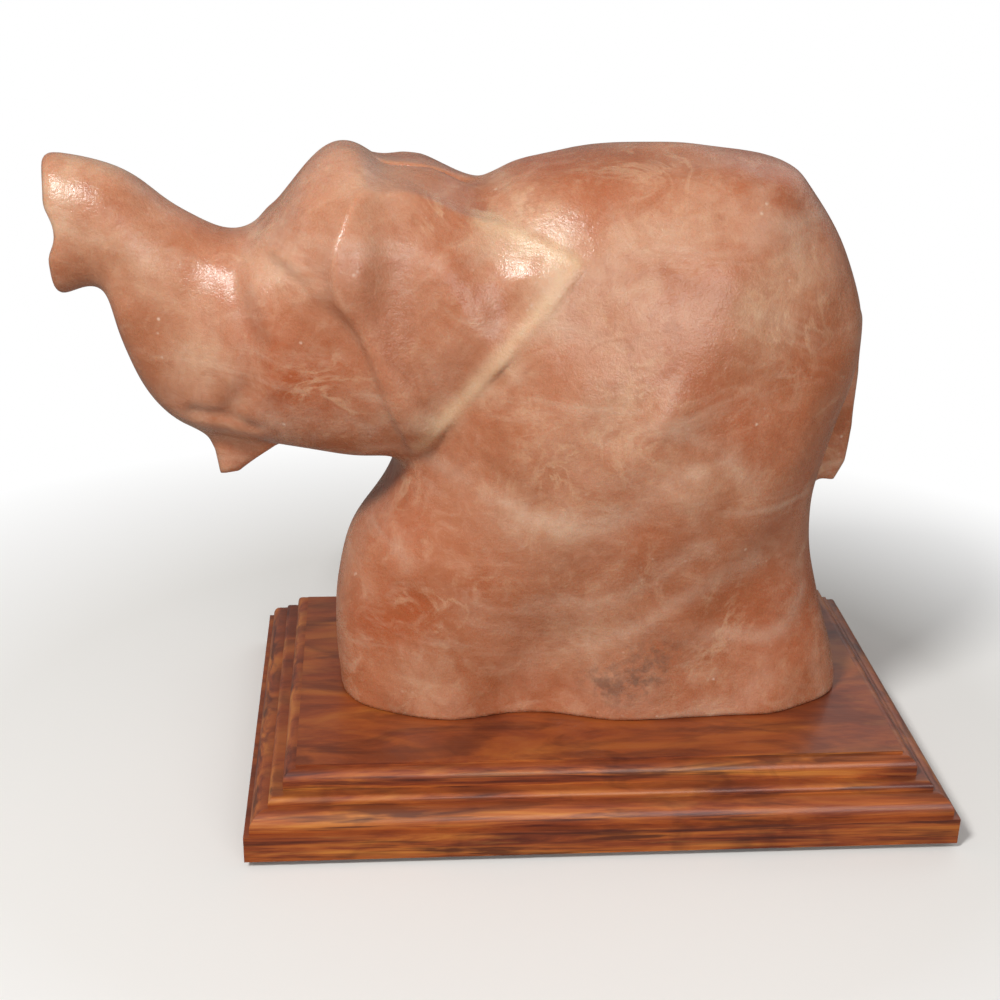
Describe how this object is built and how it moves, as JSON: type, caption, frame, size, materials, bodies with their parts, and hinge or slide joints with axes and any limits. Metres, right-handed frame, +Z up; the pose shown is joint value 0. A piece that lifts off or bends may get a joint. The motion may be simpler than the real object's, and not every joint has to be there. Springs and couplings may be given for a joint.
{
  "type": "salt crystal lamp",
  "caption": "Table lamp of hand-carved pink rock salt in the shape of an elephant with raised trunk, on a stepped rosewood base, with a small screw-in bulb pushed up from below.",
  "frame": {"origin": "on the table, under the middle of the lamp's whole length and width: half way from the trunk's tip to the far end of the base, 25 mm in front of the bulb's axis", "axes": "+Z up; X along the base and the elephant, the trunk pointing to -X and the rump to +X; +Y away from the side that the picture shows, where the cable leaves the base"},
  "size_m": [0.25, 0.13, 0.1864],
  "materials": {
    "salt": "carved rock salt, smoothed, soft satin, pink with paler veins",
    "rosewood": "dark streaked rosewood under satin lacquer",
    "foot_rubber": "matte",
    "plated_steel": "zinc plated",
    "spring_steel": "bright spring steel",
    "nylon": "moulded",
    "white_plastic": "moulded",
    "porcelain": "glazed porcelain, opaque",
    "brass": "stamped",
    "bulb_brass": "rolled thread",
    "solder": "soldered",
    "clear_glass": "clear",
    "black_glass": "opaque black glass",
    "filament_wire": "drawn wire"
  },
  "bodies": {
    "base": {"salt_elephant": "salt", "wooden_base": "rosewood", "base_ferrule": "plated_steel", "ferrule_screws": "plated_steel", "salt_screws": "plated_steel", "salt_plugs": "nylon", "foot_front_left": "foot_rubber", "foot_front_right": "foot_rubber", "foot_rear_right": "foot_rubber", "foot_rear_left": "foot_rubber"},
    "holder": {"holder_cap": "white_plastic", "holder_body": "porcelain", "holder_screw_shell": "brass", "centre_contact": "brass", "shell_contact": "brass", "terminal_live": "brass", "terminal_neutral": "brass", "terminal_screws": "plated_steel", "clip_bracket": "plated_steel"},
    "bulb": {"bulb_glass": "clear_glass", "bulb_cap": "bulb_brass", "bulb_insulator": "black_glass", "bulb_contact": "solder", "bulb_stem": "clear_glass", "bulb_lead_wires": "filament_wire", "bulb_filament": "filament_wire"},
    "clip_left": {"spring_clip_left": "spring_steel"},
    "clip_right": {"spring_clip_right": "spring_steel"}
  },
  "joints": [
    {"name": "holder_pull", "type": "slide", "parent": "base", "child": "holder", "axis": [0, 0, -1], "range_m": [0, 0.09]},
    {"name": "bulb_turn", "type": "hinge", "parent": "holder", "child": "bulb", "pos_m": [0.025, 0, 0.045], "axis": [0, 0, 1], "range_deg": [0, 1260]},
    {"name": "clip_left_flex", "type": "hinge", "parent": "holder", "child": "clip_left", "pos_m": [0.0094, 0, 0.041], "axis": [0, -1, 0], "range_deg": [0, 5], "stiffness_Nm_per_rad": 0.5},
    {"name": "clip_right_flex", "type": "hinge", "parent": "holder", "child": "clip_right", "pos_m": [0.0406, 0, 0.041], "axis": [0, 1, 0], "range_deg": [0, 5], "stiffness_Nm_per_rad": 0.5}
  ]
}
